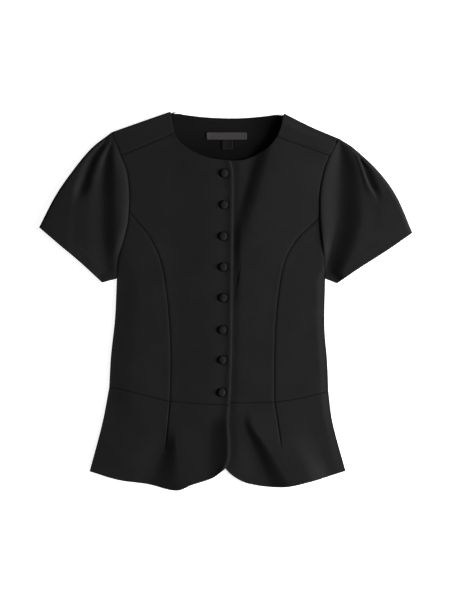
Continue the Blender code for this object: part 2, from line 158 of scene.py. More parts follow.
class Path:
    """Lines that follow each other, each over its share of the whole length."""

    def __init__(self, *lines):
        self.lines = lines
        ends = np.cumsum([0.0] + [line.length for line in lines])
        self.length = ends[-1]
        self.stops = tuple(ends / ends[-1])

    def at(self, shares):
        """The points at shares of the whole length."""
        shares = np.asarray(shares, float)
        found = np.zeros((len(shares), 2))
        for line, low, high in zip(self.lines, self.stops, self.stops[1:]):
            inside = (shares >= low - 1e-5) & (shares <= high + 1e-5)
            found[inside] = line.at(np.clip((shares[inside] - low) / (high - low), 0, 1))
        return found


class Side:
    """The lines and folds of one half of the jacket, named by the wearer's side."""

    def __init__(self, name, sign, laps, crest_reach, pleats, flutes, dart, **lines):
        self.name, self.sign, self.laps, self.crest_reach = name, sign, laps, crest_reach
        self.pleats, self.flutes = pleats, flutes
        self.dart = Line(*dart)
        for key, points in lines.items():
            setattr(self, key, Line(*points))


RIGHT = Side(
    "right", -1, 1,
    ridge=((-187.5, 278), (-140, 294.8), (-91.2, 311.8)),
    shoulder=((-172.8, 239), (-128, 257.5), (-84.8, 276.3)),
    armhole_tip=((-172.8, 239), (-187.5, 278)),
    armhole=((-159.6, 146), (-158.9, 175), (-162.8, 212), (-172.8, 239)),
    armhole_low=((-179.4, 36.5), (-178, 66), (-169, 97), (-161.5, 128), (-159.6, 146)),
    side=((-192, -142.5), (-189, -90), (-182.5, -30), (-179.4, 36.5)),
    princess=((-92.2, -165.6), (-90.7, -118), (-91.5, -55), (-98.3, 18), (-108, 68),
              (-127, 107), (-159.6, 146)),
    waist_side=((-192, -142.5), (-160, -149), (-115, -160.7), (-92.2, -165.6)),
    waist_front=((-92.2, -165.6), (-40, -169.5), (6.6, -171.6)),
    edge=((6.6, -171.6), (9.8, -95), (10.9, 0), (12, 120), (12.2, 210), (8.5, 229.8)),
    neck=((-84.8, 276.3), (-75.9, 261.7), (-54.8, 246), (-28, 235.4), (8.5, 229.8)),
    peplum_side=((-192, -142.5), (-203, -200), (-224.3, -281)),
    peplum_edge=((6.6, -171.6), (4.3, -202), (6.3, -235), (5.3, -260), (-1.7, -276.3)),
    hem=((-224.3, -281), (-178, -294.9), (-128, -302), (-81.2, -312), (-54.8, -302.3),
         (-22, -291.3), (-1.7, -276.3)),
    outer=((-187.5, 278), (-221, 251.5), (-254, 211.7), (-281, 172), (-307.4, 121)),
    cuff=((-203.5, 29.8), (-239.4, 63.2), (-275, 93.2), (-307.4, 121)),
    underarm=((-179.4, 36.5), (-203.5, 29.8)),
    dart=((-92.2, -165.3), (-98.2, -233), (-99.7, -245.5)),
    crest_reach=(11, 16),
    pleats=(((-182, 262, 6), (-181, 240, 7.8), (-179, 205, 9), (-177, 150, 9.4), (-176, 120, 9.2),
             (-178, 90, 8), (-179, 70, 4.8), (-177, 45, 4)),
            ((-188, 262, 5.2), (-196, 240, 4.4), (-202, 205, 4), (-204, 150, 4.4), (-204, 120, 4.2),
             (-202, 90, 3.4), (-199, 58, 2.6)),
            ((-190, 262, 6), (-203, 240, 6.8), (-216, 205, 6.4), (-221, 184, 6.2), (-228, 160, 6.2),
             (-232, 120, 6.2), (-232, 90, 5.6), (-228, 58, 4.6)),
            ((-199, 262, 4.8), (-216, 240, 3.6), (-231, 205, 2.7), (-238, 184, 2.8), (-241, 174, 4.6),
             (-244, 160, 6.2), (-248, 120, 6.3), (-248, 90, 6), (-248, 58, 5.4)),
            ((-206, 262, 6), (-228, 240, 6.2), (-245, 205, 6.4), (-252, 184, 7), (-256, 160, 7.2),
             (-262, 120, 7.2), (-262, 90, 7), (-262, 58, 6.6))),
    flutes=(((-145, -170, 5.2), (-145, -205, 4.8), (-145, -240, 4.3), (-150, -270, 4), (-156, -300, 3.8)),
            ((-112, -170, 5.2), (-110, -205, 4.5), (-101, -236, 3.2), (-112, -262, 2.8), (-128, -300, 2.7)),
            ((-72, -170, 5.2), (-77, -205, 5.6), (-80, -236, 8.3), (-77, -270, 9.6), (-72, -305, 10.2)),
            ((-27, -170, 5.2), (-27, -205, 5.2), (-28, -240, 7), (-30, -270, 8), (-32, -300, 8.8)),
            ((6, -170, 5.2), (6, -205, 9.8), (7, -240, 12.8), (5, -270, 13.2), (2, -300, 13.2))))

LEFT = Side(
    "left", 1, 0,
    ridge=((187.6, 266.8), (140, 287), (96.5, 308.8)),
    shoulder=((170.4, 238.4), (130, 253), (84.2, 269.3)),
    armhole_tip=((170.4, 238.4), (187.6, 266.8)),
    armhole=((154.6, 137), (154.2, 175), (161, 213.5), (170.4, 238.4)),
    armhole_low=((163.9, 36.5), (162.3, 68), (157.6, 108), (154.6, 137)),
    side=((169.2, -149), (167.2, -100), (162.8, -45), (163.9, 36.5)),
    princess=((80.2, -167), (80, -118), (81.2, -55), (86, 5), (97, 64),
              (118, 102), (154.6, 137)),
    waist_side=((169.2, -149), (117.2, -161.2), (80.2, -167)),
    waist_front=((80.2, -167), (35, -168), (-18, -167.6)),
    edge=((-18, -167.6), (-15, 0), (-15, 150), (-16, 232.6)),
    neck=((84.2, 269.3), (71.4, 253.8), (52, 240.9), (25, 231.2), (-16, 232.6)),
    peplum_side=((169.2, -149), (176, -200), (197.6, -280.4)),
    peplum_edge=((-18, -167.6), (-18, -205), (-17, -246), (-10.5, -265.5)),
    hem=((197.6, -280.4), (143.2, -296.7), (92, -307), (38, -301.2), (11.2, -288),
         (-10.5, -265.5)),
    outer=((187.6, 266.8), (211, 251.3), (252.6, 211.7), (281, 172), (307.4, 112)),
    cuff=((183.5, 28.7), (218.8, 53), (266, 83.2), (307.4, 112)),
    underarm=((163.9, 36.5), (183.5, 28.7)),
    dart=((80.2, -168.6), (85.1, -199), (91.9, -242.9)),
    crest_reach=(1.1, 3.6),
    pleats=(((184, 262, 6), (175, 245, 7.2), (167, 225, 8), (160, 200, 8), (157, 175, 8.2),
             (157, 150, 8.2), (158.5, 120, 8.4), (160.5, 90, 7.4), (162, 60, 4), (161, 40, 3.6)),
            ((188, 262, 5.6), (189, 245, 4.6), (189, 225, 3.4), (188, 200, 2.9), (187, 175, 2.9),
             (187, 150, 2.9), (183, 120, 2.9), (175, 90, 2.8), (168, 60, 2.7), (165, 40, 2.7)),
            ((194, 262, 6.4), (205, 245, 8), (217, 225, 9.2), (224, 200, 9.6), (226, 175, 10.4),
             (227, 150, 11.2), (225, 120, 11.4), (216, 90, 11), (196, 50, 10.2)),
            ((203, 262, 7), (213, 245, 9), (221, 224, 10.4), (229, 200, 11.4), (235, 186, 11.6),
             (243, 172, 11.2), (246, 150, 11), (246, 120, 11), (240, 90, 10.6), (225, 50, 9.8)),
            ((207, 262, 6.4), (217, 245, 7), (225, 224, 7.2), (233, 200, 7.2), (240, 186, 7.6),
             (245, 177, 9.4), (251, 160, 11), (254, 120, 11), (248, 90, 10.6), (232, 50, 9.8)),
            ((216, 262, 7), (227, 245, 9.2), (239, 224, 10.6), (249, 200, 11.2), (255, 184, 11.4),
             (259, 172, 11.3), (262, 150, 11.2), (264, 120, 11), (260, 90, 10.6), (247, 50, 9.8))),
    flutes=(((-14, -170, 5.2), (-14, -300, 5.2)),
            ((14, -170, 4.6), (14, -205, 4.2), (16, -240, 4.1), (18, -270, 4), (20, -300, 4)),
            ((28, -170, 5.2), (30, -205, 4.5), (44, -240, 3.2), (54, -270, 2.8), (67, -305, 2.7)),
            ((42, -170, 5.2), (45, -205, 7.8), (69, -240, 9.4), (87, -270, 9.8), (110, -305, 10.6)),
            ((70, -170, 5.2), (84, -205, 6.8), (108, -240, 9), (126, -270, 10.4), (142, -305, 11)),
            ((140, -165, 5.2), (146, -205, 4.8), (156, -240, 4.2), (168, -270, 3.6), (180, -305, 3.4))))

NECK_BACK = Line((-91.2, 311.8), (-68, 306.7), (-28, 302.2), (17, 300.9), (57, 303.4), (96.5, 308.8))
BACK_WAIST = Line((-191.7, -142.8), (-100, -162), (0, -168), (90, -164), (168.9, -149.3))
BACK_HEM = Line((-222, -277), (-110, -273), (0, -268), (110, -272), (195.5, -276.5))
FRONT_EDGE = Line(*RIGHT.peplum_edge.points[::-1], *RIGHT.edge.points[1:])
FRONT_FOLDS = (
    Fold(((62, 290), (50, 240), (38, 199), (28, 160), (20, 125)), -1.5, (14, 8), (10, 7)),
    Fold(((112, 345), (94, 296), (76, 246), (64, 199), (52, 160), (42, 126), (32, 92), (26, 62)), 5.6,
         (20, 19), (120, 60)))


def from_line(x, y, line, steps=48):
    """Distance of each point from a line, the share of the line that it lies beside, and whether it lies east
    of the line."""
    points = line.at(np.linspace(0, 1, steps + 1))
    nearest, share, east = np.full(x.shape, 1e9), np.zeros(x.shape), np.zeros(x.shape, bool)
    for k, (a, b) in enumerate(zip(points, points[1:])):
        run = b - a
        dx, dy = x - a[0], y - a[1]
        t = np.clip((dx * run[0] + dy * run[1]) / (run @ run), 0, 1)
        far = np.hypot(dx - run[0] * t, dy - run[1] * t)
        closer = far < nearest
        nearest, share = np.where(closer, far, nearest), np.where(closer, (k + t) / steps, share)
        east = np.where(closer, run[0] * dy - run[1] * dx > 0, east)
    return nearest, share, east


def fold_rise(x, y, fold):
    """Height that a fold adds: a soft ridge or trough along a line that fades out towards its ends."""
    nearest, share, east = from_line(x, y, Line(*fold.points), FOLD_STEPS)
    width = np.where(east, mix(*fold.east, share), mix(*fold.west, share))
    return fold.rise * bell(nearest, width) * np.sin(np.pi * mix(0.12, 0.92, share))


def smooth_through(at, stops, values):
    """A smooth line through values that stand at rising stops."""
    slopes = np.gradient(values, stops)
    at = np.clip(at, stops[0], stops[-1])
    i = np.clip(np.searchsorted(stops, at) - 1, 0, len(stops) - 2)
    step = stops[i + 1] - stops[i]
    s = (at - stops[i]) / step
    return (values[i] * (1 + 2 * s) * (1 - s) ** 2 + values[i + 1] * s * s * (3 - 2 * s)
            + step * s * (1 - s) * (slopes[i] * (1 - s) - slopes[i + 1] * s))


def pleated(x, y, tracks):
    """Height of pleated cloth from the crests and valleys that run down it, each a row of (x, y, height)."""
    places, heights = [], []
    for track in tracks:
        xs, ys, zs = np.array(sorted(track, key=lambda point: point[1]), float).T
        places.append(smooth_through(y, ys, xs))
        heights.append(smooth_through(y, ys, zs))
    total = heights[0]
    for k in range(len(tracks) - 1):
        total = total + (heights[k + 1] - heights[k]) * ease((x - places[k]) / (places[k + 1] - places[k]))
    return total


def ripple(x, y, size, seed):
    """Slight unevenness of laid cloth, from -1 to 1, with swells about as long as size."""
    order = np.random.default_rng(seed)
    total = np.zeros(np.shape(x))
    for turn, stretch, phase in order.uniform((0, 0.7, 0), (math.pi, 1.5, 2 * math.pi), (6, 3)):
        total += np.sin(2 * math.pi * (x * math.cos(turn) + y * math.sin(turn)) / (size * stretch) + phase)
    return total / 4


def on_body(x, y):
    """How far the front has risen from the side seams, 0 to 1; above the underarm it is free of them."""
    above = 0.5 * np.maximum(y - UNDERARM_Y, 0)
    return (ease((x - RIGHT.side.x_at(y) + above) / SIDE_ROLL)
            * ease((LEFT.side.x_at(y) - x + above) / LEFT_ROLL))


def clear_of_lap(x):
    """0 where the two fronts lie on each other, 1 clear of there."""
    return ease(np.maximum((x - 10) / 16, (-22 - x) / 30))


def button_dish(x, y, depth):
    """The dip that each button draws into the cloth round it."""
    dip = np.zeros(np.shape(x))
    for bx, by in BUTTON_PLACES:
        far = np.hypot(x - bx, y - by)
        dip = np.maximum(dip, bell(np.maximum(far - 6.5, 0), 2.6))
    return -depth * dip


def placket(x, y, sizes, laps):
    """Relief by the front edge: its rolled bead, the trough beside it and the dips of the buttons."""
    inside = FRONT_EDGE.x_at(y) - x
    dips = button_dish(x, y, sizes.button_dip)
    if laps:
        return (sizes.edge_bead * bell(inside - 3.0, np.where(inside > 3.0, 5.2, 2.4))
                - sizes.placket_trough * bell(inside - 17, 7.0) + dips)
    return -0.9 * bell(inside + 1, 7.5) + dips


def bodice_height(x, y):
    """Middle of the front's cloth above the surface, before the lap."""
    folds = sum(fold_rise(x, y, fold) for fold in FRONT_FOLDS)
    return mix(SIDE_Z, FRONT_Z + folds * clear_of_lap(x), on_body(x, y))


def peplum_height(x, y, side):
    """Middle of a front peplum's cloth: flat at the waist seam, fluted towards the hem."""
    waist = -142.5 - 27 * np.cos(math.pi / 2 * np.minimum(np.abs(x) / 192, 1))
    down = np.clip((waist - y) / 132, 0, 1)
    inside = (x - RIGHT.peplum_side.x_at(y)) if side is RIGHT else (LEFT.peplum_side.x_at(y) - x)
    full = mix(FRONT_Z, pleated(x, y, side.flutes), ease(down / 0.3))
    above = full - SIDE_Z
    above = (above + np.hypot(above, 0.8)) / 2
    roll = mix(SIDE_ROLL, HEM_ROLL, ease(down / 0.5)) if side is RIGHT else LEFT_ROLL
    return SIDE_Z + above * ease(inside / roll)


def lap_rise(x):
    """Rise of the lapping front above the one below it."""
    return LAP * ease((x - LAP_FOOT) / (LAP_FULL - LAP_FOOT))


def ticks(sides, cell, fine=()):
    """Shares at which a panel is divided between two opposite sides: a cell apart, with a stop at each
    corner, and twice as close within the fine stretches."""
    length = max(side.length for side in sides)
    stops = sorted({round(stop, 6) for side in sides for stop in side.stops})
    shares = [0.0]
    for a, b in zip(stops, stops[1:]):
        count = max(2, round((b - a) * length / cell))
        shares += [mix(a, b, k / count) for k in range(1, count + 1)]
    cut = []
    for a, b in zip(shares, shares[1:]):
        cut.append(a)
        if any(low <= (a + b) / 2 <= high for low, high in fine):
            cut.append((a + b) / 2)
    return np.array(cut + [1.0])


def patch(bottom, top, left, right, u, v):
    """Rows of points that fill the space between four runs of points (a Coons patch)."""
    south, north, west, east = bottom[None], top[None], left[:, None], right[:, None]
    u, v = u[None, :, None], v[:, None, None]
    corners = ((south[:, :1] * (1 - u) + south[:, -1:] * u) * (1 - v)
               + (north[:, :1] * (1 - u) + north[:, -1:] * u) * v)
    return south * (1 - v) + north * v + west * (1 - u) + east * u - corners


def inset(rows, bottom=SEWN, top=SEWN, left=SEWN, right=SEWN):
    """Draws each side of a panel in, or out a little where it is sewn, so that no gap shows in the seam."""
    for edge, inner, gap in ((rows[0], rows[1], bottom), (rows[-1], rows[-2], top),
                             (rows[:, 0], rows[:, 1], left), (rows[:, -1], rows[:, -2], right)):
        way = inner - edge
        edge += way / np.maximum(np.linalg.norm(way, axis=-1, keepdims=True), 1e-6) * gap
    return rows


def filled(lines, u, v, **gaps):
    """Rows of points that fill the space between four lines: bottom, top, left and right."""
    bottom, top, left, right = lines
    return inset(patch(bottom.at(u), top.at(u), left.at(v), right.at(v), u, v), **gaps)


def seam_relief(x, y, line, sizes, seed):
    """Cloth beside a seam: drawn down into it, a soft roll next to it, and slight puckers across it."""
    distance, share, _ = from_line(x, y, line)
    along = share * line.length
    order = np.random.default_rng(seed).uniform(0, 2 * math.pi, 4)
    pucker = (np.sin(along / 1.15 + order[0]) * 0.5 + np.sin(along / 1.9 + order[1])
              + np.sin(along / 3.4 + order[2])) * (0.6 + 0.4 * np.sin(along / 17 + order[3]))
    return (-sizes.seam_dip * bell(distance, 1.6) + 0.12 * bell(distance - 5.5, 3.5)
            + sizes.pucker * pucker * bell(distance, 7.0) * (1 - bell(distance, 1.5)))


def edge_relief(x, y, line, rise):
    """Cloth beside a turned edge, thicker over its turning."""
    return rise * bell(from_line(x, y, line)[0] - 2.6, 2.2)


def groove(x, y, line, depth, width):
    """A stitched line within a panel, such as a dart, which runs out at its end."""
    nearest, share, _ = from_line(x, y, line, DART_STEPS)
    return -depth * bell(nearest, width) * ease((1.02 - share) / 0.25)


def add_sheet(bm, rows):
    """A grid in the mesh with its points moved to the rows."""
    up, across = rows.shape[0] - 1, rows.shape[1] - 1
    made = bmesh.ops.create_grid(bm, x_segments=across, y_segments=up, size=1.0)
    places = (rows * MM).tolist()
    for vert in made["verts"]:
        i = round((vert.co.x + 1) / 2 * across)
        j = round((vert.co.y + 1) / 2 * up)
        vert.co = places[j][i]


def lift(rows, height):
    """Flat points with their heights."""
    return np.concatenate((rows, np.broadcast_to(height, rows.shape[:-1])[..., None]), axis=-1)


def new_object(name, data):
    """An object in the scene, at the origin."""
    obj = bpy.data.objects.new(name, data)
    bpy.context.scene.collection.objects.link(obj)
    return obj


def new_mesh(name, bm, material):
    """The finished mesh, which takes over the one in work."""
    mesh = bpy.data.meshes.new(name)
    bm.to_mesh(mesh)
    bm.free()
    mesh.materials.append(material)
    return mesh


def cloth_object(name, bm, material, grain=0.0, seams=(), facing=None):
    """An object for a mesh at its place, with a map of its cloth's grain in metres and one of its seams and
    facing, for painted shade.
    """
    mesh = new_mesh(name, bm, material)
    mesh.shade_smooth()
    corners, places = np.zeros(len(mesh.loops), int), np.zeros(len(mesh.vertices) * 3)
    mesh.loops.foreach_get("vertex_index", corners)
    mesh.vertices.foreach_get("co", places)
    x, y, z = places.reshape(-1, 3).T
    cos, sin = math.cos(grain), math.sin(grain)
    turned = np.stack((x * cos + y * sin, y * cos - x * sin), 1)
    near = np.full(x.shape, SEAM_REACH)
    # painted shade: distance to each seam, dart or button ring, near which the material darkens the cloth as
    # if shaded
    for seam in seams:
        near = np.minimum(near, from_line(x / MM, y / MM, seam, SHADE_STEPS)[0])
    faced = np.zeros(x.shape) if facing is None else facing(x / MM, y / MM, z / MM)
    for key, pairs in ((GRAIN_MAP, turned), (SEAM_SHADE_MAP, np.stack((near / SEAM_REACH, faced), 1))):
        mesh.uv_layers.new(name=key).data.foreach_set("uv", pairs[corners].ravel())
    return new_object(name, mesh)


def give_wall(obj, thickness, rounding, segments, clamp=True):
    """The cloth's thickness on both sides of its middle, and its rounded edges."""
    solid = obj.modifiers.new("Wall", "SOLIDIFY")
    solid.thickness, solid.offset = thickness * MM, 0.0
    rounded = obj.modifiers.new("Rounded edges", "BEVEL")
    rounded.width, rounded.segments = rounding * MM, segments
    rounded.limit_method, rounded.angle_limit = "ANGLE", CORNER
    rounded.use_clamp_overlap = clamp


def dress(obj, node):
    """Puts a piece in the place of its solid."""
    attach(obj, "root")
    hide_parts(node)


def cloth_panel(node, sheets, sizes, seams=(), facing=None):
    """A panel of cloth from its middle surface, walled and round-edged, in the place of its solid."""
    bm = bmesh.new()
    for rows in sheets:
        add_sheet(bm, rows)
    bmesh.ops.remove_doubles(bm, verts=bm.verts, dist=MERGE * MM)
    bmesh.ops.dissolve_degenerate(bm, dist=SLIVER * MM, edges=bm.edges)
    bmesh.ops.recalc_face_normals(bm, faces=bm.faces)
    obj = cloth_object(node + "_cloth", bm, jersey("jersey"), 0.0, seams, facing)
    give_wall(obj, WALL, sizes.edge_round, 3, clamp=False)
    dress(obj, node)
    return obj


def new_material(name):
    """A material, its nodes and its shader."""
    material = bpy.data.materials.new(name)
    material.use_nodes = True
    return material, material.node_tree, material.node_tree.nodes["Principled BSDF"]


def feed(tree, node, inputs):
    """Sets a node's inputs, by name or number, from other nodes' sockets or from values."""
    for key, value in inputs.items():
        if isinstance(value, bpy.types.NodeSocket):
            tree.links.new(value, node.inputs[key])
        else:
            node.inputs[key].default_value = value


def add_node(tree, kind, inputs, **settings):
    """A node with its settings and inputs."""
    made = tree.nodes.new(kind)
    for key, value in settings.items():
        setattr(made, key, value)
    feed(tree, made, inputs)
    return made


def maths(tree, operation, *inputs):
    """The result of a math node, from sockets or numbers."""
    return add_node(tree, "ShaderNodeMath", dict(enumerate(inputs)), operation=operation).outputs[0]


def wave(tree, along):
    """A sine wave, one turn to a unit."""
    return maths(tree, "SINE", maths(tree, "MULTIPLY", along, math.tau))


def swayed(tree, value, amount, onto):
    """One value, moved by how far another lies from a half."""
    return maths(tree, "MULTIPLY_ADD", maths(tree, "SUBTRACT", value, 0.5), amount, onto)


def split(tree, vector):
    """The sockets of a vector's parts."""
    return tuple(add_node(tree, "ShaderNodeSeparateXYZ", {0: vector}).outputs)


def uv_places(tree, name):
    """The places in one of the mesh's maps."""
    return add_node(tree, "ShaderNodeUVMap", {}, uv_map=name).outputs["UV"]


def noise(tree, vector, scale, detail, roughness=0.55):
    """A soft irregular pattern, from 0 to 1."""
    inputs = {"Vector": vector, "Scale": scale, "Detail": detail, "Roughness": roughness}
    return add_node(tree, "ShaderNodeTexNoise", inputs).outputs["Fac"]


def blended(tree, factor, dark, light):
    """A colour between two, by a factor."""
    return add_node(tree, "ShaderNodeMix", {"Factor": factor, 6: dark, 7: light}, data_type="RGBA").outputs[2]


def toned(colour, amount):
    """A colour made darker or lighter."""
    return (*(amount * part for part in colour), 1.0)


def bumped(tree, height, strength, distance):
    """The normal of a surface with fine relief."""
    inputs = {"Height": height, "Strength": strength, "Distance": distance}
    return add_node(tree, "ShaderNodeBump", inputs).outputs["Normal"]


def grain_places(tree, turn, across, along):
    """The places in the cloth in metres, and the same turned and counted in threads across and along it."""
    plain = uv_places(tree, GRAIN_MAP)
    inputs = {"Vector": plain, "Rotation": (0, 0, turn), "Scale": (1000 / across, 1000 / along, 1.0)}
    return plain, split(tree, add_node(tree, "ShaderNodeMapping", inputs).outputs["Vector"])


def jersey(name):
    """Black double jersey with a fine diagonal grid of dots; painted shade in its seams and on its smoother
    facings.
    """
    if name in bpy.data.materials:
        return bpy.data.materials[name]
    look = bpy.context.scene.jacket_look
    material, tree, shader = new_material(name)
    plain, knit = grain_places(tree, math.pi / 4, look.knit_pitch, look.knit_pitch)
    beside, facing, _ = split(tree, uv_places(tree, SEAM_SHADE_MAP))
    # painted shade: the cloth turns darker within 1.5 mm of a seam, dart or button ring, as if in the seam's
    # shade
    clear = add_node(tree, "ShaderNodeMapRange", {
        "Value": beside, "From Min": SEAM_SHADE_FULL / SEAM_REACH, "From Max": SEAM_SHADE_GONE / SEAM_REACH,
        "To Min": look.seam_painted_shade}, interpolation_type="SMOOTHSTEP").outputs["Result"]
    waver = maths(tree, "MULTIPLY", noise(tree, plain, 60.0, 2.0), 0.5)
    rows, wales = (wave(tree, maths(tree, "ADD", way, waver)) for way in knit[:2])
    dots = maths(tree, "ADD", rows, wales)
    dots = maths(tree, "MULTIPLY", dots, maths(tree, "MULTIPLY_ADD", facing, -0.7, 1.0))
    raised = maths(tree, "MULTIPLY_ADD", dots, 0.25, 0.5)
    fuzz, cloud = noise(tree, plain, 2600.0, 3.0, 0.7), noise(tree, plain, 22.0, 3.0)
    tone = swayed(tree, fuzz, 0.35, swayed(tree, cloud, 0.35, raised))
    cloth = blended(tree, tone, toned(look.cloth, 1 - look.knit_contrast),
                    toned(look.cloth, 1 + look.knit_contrast))
    # painted shadow on the neck facing, darker where the raised front would shade it
    shade = maths(tree, "MULTIPLY_ADD", facing, -look.facing_painted_shade, 1.0)
    feed(tree, shader, {
        "Base Color": blended(tree, maths(tree, "MULTIPLY", clear, shade), (0.0, 0.0, 0.0, 1.0), cloth),
        "Roughness": maths(tree, "MULTIPLY_ADD", fuzz, 0.14, 0.8),
        "Specular IOR Level": look.cloth_gloss,
        "Sheen Weight": look.cloth_bloom, "Sheen Roughness": 0.45,
        "Normal": bumped(tree, maths(tree, "MULTIPLY_ADD", fuzz, 0.12, raised), 0.6, 0.00025)})
    return material


def woven(name, colour, rib):
    """Woven label tape with fine ribs across it."""
    material, tree, shader = new_material(name)
    plain, threads = grain_places(tree, 0.0, rib, rib * 0.62)
    warp, weft = (wave(tree, way) for way in threads[:2])
    cross = maths(tree, "MULTIPLY_ADD", maths(tree, "MULTIPLY", warp, weft), 0.4, 0.5)
    fibre = noise(tree, plain, 1800.0, 3.0, 0.6)
    feed(tree, shader, {
        "Base Color": blended(tree, swayed(tree, fibre, 0.6, cross), toned(colour, 0.8), toned(colour, 1.2)),
        "Roughness": maths(tree, "MULTIPLY_ADD", fibre, 0.15, 0.5),
        "Specular IOR Level": 0.12,
        "Normal": bumped(tree, cross, 0.5, 0.00012)})
    return material


def unevenness(x, y, sizes):
    """Slight swells of cloth that is laid down."""
    return sizes.unevenness * (0.7 * ripple(x, y, 85, 5) + 0.22 * ripple(x, y, 26, 6))


def front_center(side, sizes):
    """Centre front: princess and armhole on its outer side, the front edge, neckline and shoulder seam."""
    seams = (side.waist_front, side.princess, side.armhole, side.shoulder)
    outer, top = Path(side.princess, side.armhole), Path(side.shoulder, side.neck)
    bottom, edge = side.waist_front, side.edge
    u = ticks((bottom, top), sizes.cell * 1.5, ((0.0, 0.03), (0.80 if side.laps else 0.72, 1.0)))
    v = ticks((outer, edge), sizes.cell, ((0.0, 0.012), (0.985, 1.0)))
    rows = filled((bottom, top, outer, edge), u, v, right=0)
    x, y = rows[..., 0], rows[..., 1]
    height = bodice_height(x, y) + side.laps * lap_rise(x) + placket(x, y, sizes, side.laps)
    height += edge_relief(x, y, side.neck, 0.1) + unevenness(x, y, sizes)
    for seed, seam in enumerate(seams, start=11):
        height += seam_relief(x, y, seam, sizes, seed + 10 * side.laps)
    # painted shadow: a dark ring on the cloth round each button, where the button would shade it
    rings = [button_ring(place, BUTTON_SHADOW_RADIUS) for place in BUTTON_PLACES if side.laps]
    return cloth_panel("front_center_" + side.name, [lift(rows, height)], sizes, (*seams, *rings))


def front_side(side, sizes):
    """Side front: from the side seam and lower armhole to the princess seam, which meet in a point."""
    outer, bottom = Path(side.side, side.armhole_low), side.waist_side
    inner, top = side.princess.part(0, 0.7), side.princess.part(0.7, 1).back()
    u = ticks((bottom, top), sizes.cell, ((0.0, 0.03), (0.97, 1.0)))
    v = ticks((outer, inner), sizes.cell, ((0.0, 0.012), (0.98, 1.0)))
    rows = filled((bottom, top, outer, inner), u, v)
    x, y = rows[..., 0], rows[..., 1]
    height = bodice_height(x, y) + unevenness(x, y, sizes) * on_body(x, y)
    for seed, seam in enumerate((bottom, side.princess), start=15):
        height += seam_relief(x, y, seam, sizes, seed + 10 * side.laps)
    height += seam_relief(x, y, side.armhole_low, sizes, 17) * ease((y - 40) / 12)
    seams = (bottom, side.princess, side.armhole_low)
    return cloth_panel("front_side_" + side.name, [lift(rows, height)], sizes, seams)


def front_peplum(side, sizes):
    """Front peplum: from the waist seam down to the hem, with its dart and rounded front corner."""
    top, bottom = Path(side.waist_side, side.waist_front), side.hem
    outer, edge = side.peplum_side.back(), side.peplum_edge.back()
    u = ticks((bottom, top), sizes.cell, ((0.40, 0.60), (0.0, 0.015), (0.90, 1.0)))
    v = ticks((outer, edge), sizes.cell, ((0.0, 0.03), (0.96, 1.0)))
    rows = filled((bottom, top, outer, edge), u, v, bottom=0, left=0, right=0)
    x, y = rows[..., 0], rows[..., 1]
    height = peplum_height(x, y, side) + side.laps * lap_rise(x) + placket(x, y, sizes, side.laps)
    height += seam_relief(x, y, top, sizes, 31 + side.laps) + edge_relief(x, y, bottom, 0.3)
    inside = from_line(x, y, outer)[0]
    height += groove(x, y, side.dart, 0.75, 1.5) + unevenness(x, y, sizes) * ease(inside / SIDE_ROLL)
    return cloth_panel("front_peplum_" + side.name, [lift(rows, height)], sizes, (top, side.dart))


def shoulder_turn(side, steps):
    """Rows of the back's cloth as it turns over a shoulder ridge, from the lower layer to the upper one."""
    radius = (FRONT_Z - BACK_Z) / 2
    share = np.linspace(0, 1, steps)
    points = side.ridge.at(share)
    run = np.gradient(points, axis=0)
    ways = np.stack((run[:, 1], -run[:, 0]), axis=1)
    ways /= np.linalg.norm(ways, axis=1, keepdims=True)
    ways[ways[:, 1] > 0] *= -1
    inwards = side.armhole_tip.points[0] - side.armhole_tip.points[1]
    inwards /= np.linalg.norm(inwards)
    ways = mix(inwards / (inwards @ ways[0]), ways, ease(share * side.ridge.length / 15)[:, None])
    rows = []
    for angle in np.linspace(-math.pi / 2, math.pi / 2, TURN_STEPS + 1):
        reach = WALL / 2 + radius * (1 - math.cos(angle))
        rows.append(lift(points + ways * reach, BACK_Z + radius * (1 + math.sin(angle))))
    return np.array(rows)


def neck_facing_shadow(x, y, z):
    """How much of the smooth facing shows inside the back neck; its darkness is painted shadow, deepest
    towards +X and towards the front.
    """
    painted_shadow = np.maximum(0.6 * ease((x - 10) / 60), 0.8 * ease((292 - y) / 50))
    return ease((4.2 - z) / 1.2) * ease((y - 215) / 10) * (0.55 + 0.45 * painted_shadow)


